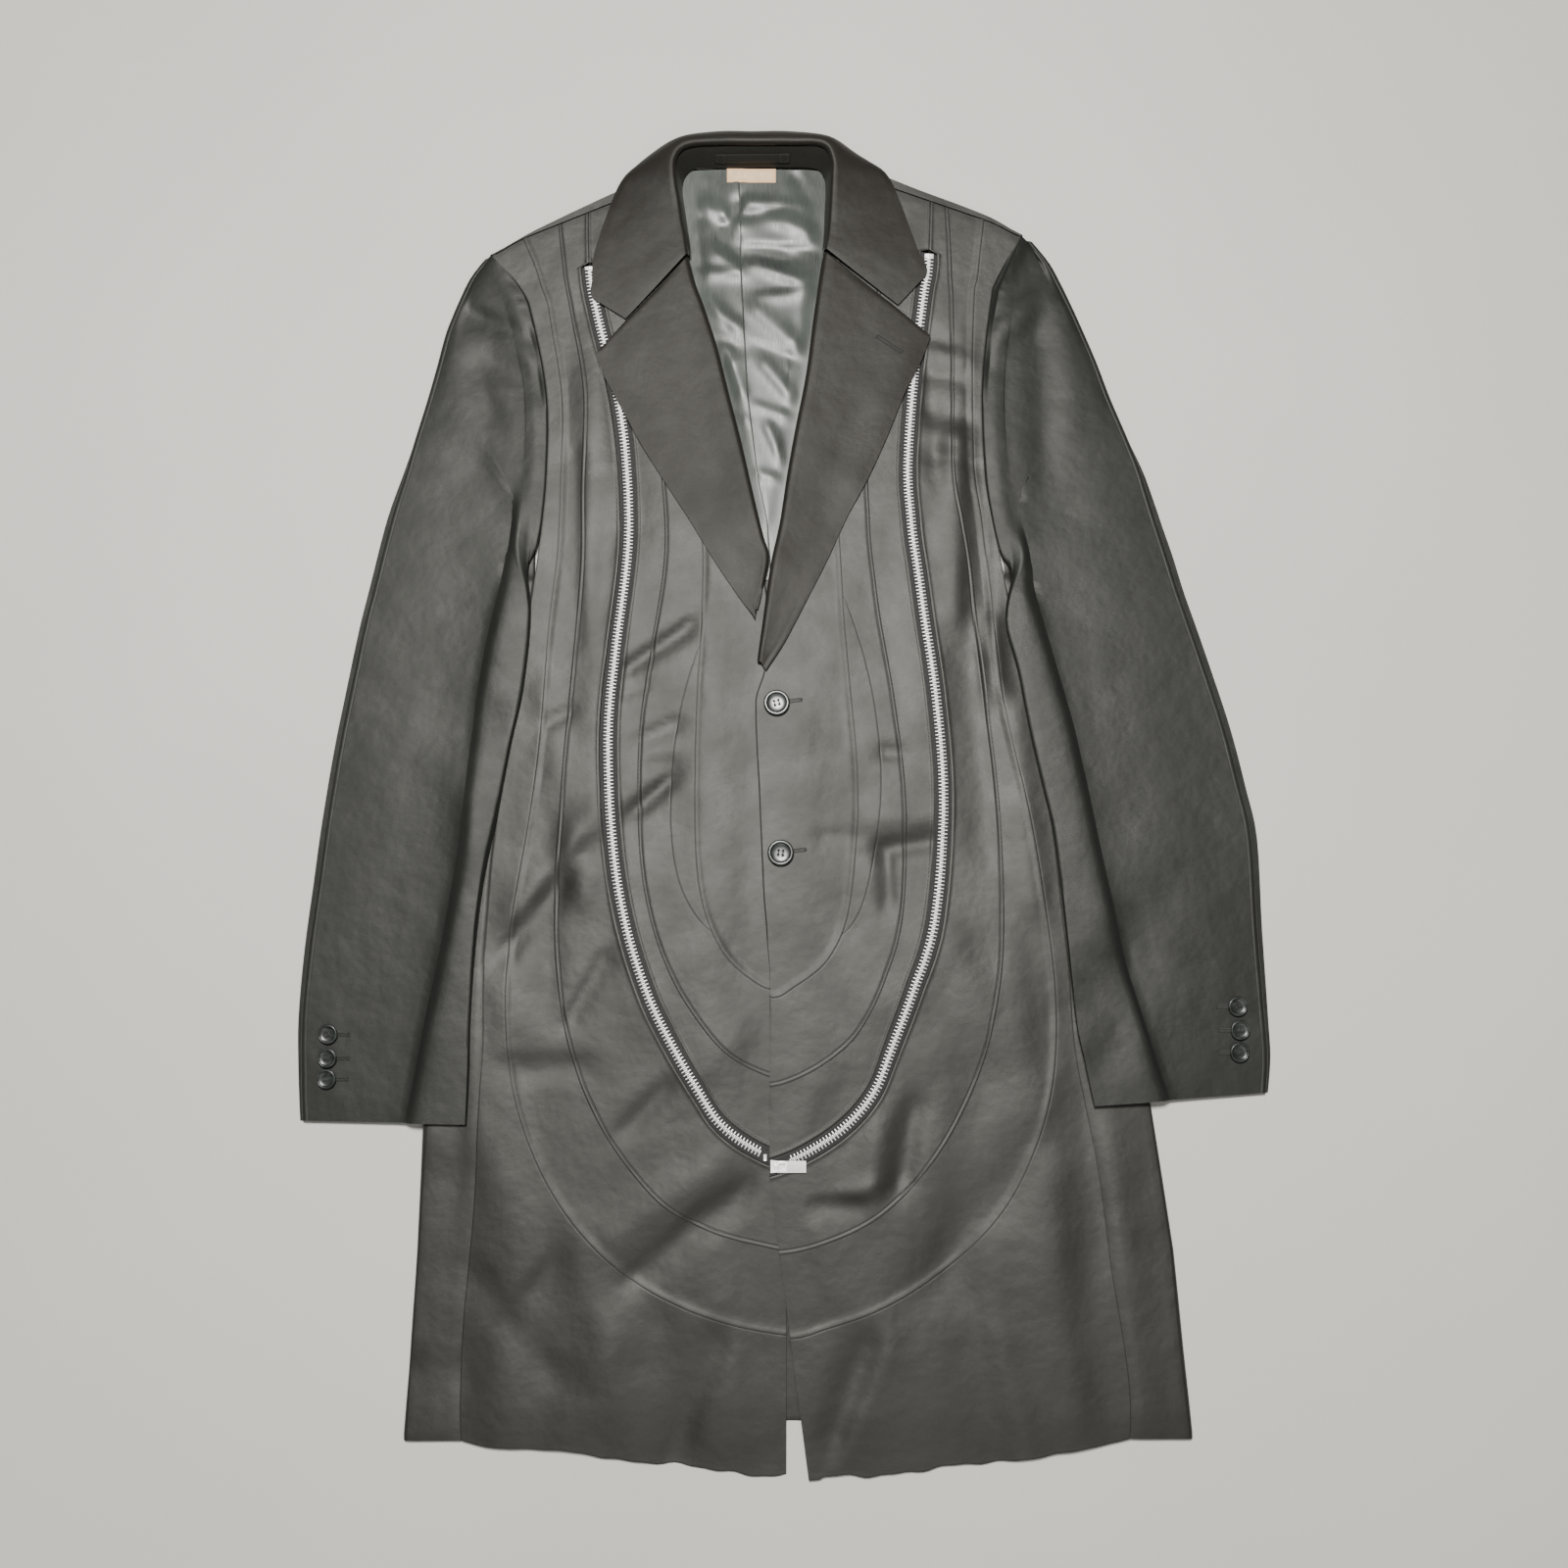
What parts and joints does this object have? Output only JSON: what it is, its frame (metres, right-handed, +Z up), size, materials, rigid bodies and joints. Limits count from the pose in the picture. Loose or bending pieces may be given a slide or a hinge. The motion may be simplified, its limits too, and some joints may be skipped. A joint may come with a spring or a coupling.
{
  "type": "long jacket",
  "caption": "Long tailored jacket laid flat on its back, with notched lapels, curved seams and a zip let into a U round the waist.",
  "frame": {"origin": "middle of the outline, on the floor the back lies on", "axes": "+Y towards the collar, +X to the wearer's left (the viewer's right), +Z up out of the fronts"},
  "size_m": [0.705, 1.006, 0.026],
  "materials": {
    "shell": "matte wool twill with a faint sheen",
    "lining": "satin, glossy along its folds",
    "tape": "matte woven tape",
    "zip_metal": "bright polished metal",
    "button": "glossy resin",
    "label": "matte woven label, bare"
  },
  "bodies": {
    "garment": {"collar_fall": "shell", "collar_stand": "shell", "front_button_1": "button", "front_button_2": "button", "hanger_loop": "shell", "label": "label", "left_back": "shell", "left_back_lining": "lining", "left_bib": "shell", "left_crescent": "shell", "left_cuff_button_1": "button", "left_cuff_button_2": "button", "left_cuff_button_3": "button", "left_lapel": "shell", "left_outer_band": "shell", "left_rib_band": "shell", "left_ring": "shell", "left_side_panel": "shell", "left_skirt_front": "shell", "left_under_sleeve": "shell", "left_upper_sleeve": "shell", "left_zip_band": "shell", "left_zip_tape": "tape", "left_zip_teeth": "zip_metal", "right_back": "shell", "right_back_lining": "lining", "right_bib": "shell", "right_crescent": "shell", "right_cuff_button_1": "button", "right_cuff_button_2": "button", "right_cuff_button_3": "button", "right_lapel": "shell", "right_outer_band": "shell", "right_rib_band": "shell", "right_ring": "shell", "right_side_panel": "shell", "right_skirt_front": "shell", "right_under_sleeve": "shell", "right_upper_sleeve": "shell", "right_zip_band": "shell", "right_zip_tape": "tape", "right_zip_teeth": "zip_metal", "slider": "zip_metal", "zip_stop": "zip_metal"},
    "pull": {"zip_pull": "zip_metal"}
  },
  "joints": [
    {"name": "pull_hinge", "type": "hinge", "parent": "garment", "child": "pull", "pos_m": [-0.0041, -0.2864, 0.0109], "axis": [0, -1, 0], "range_deg": [0, 160]}
  ]
}
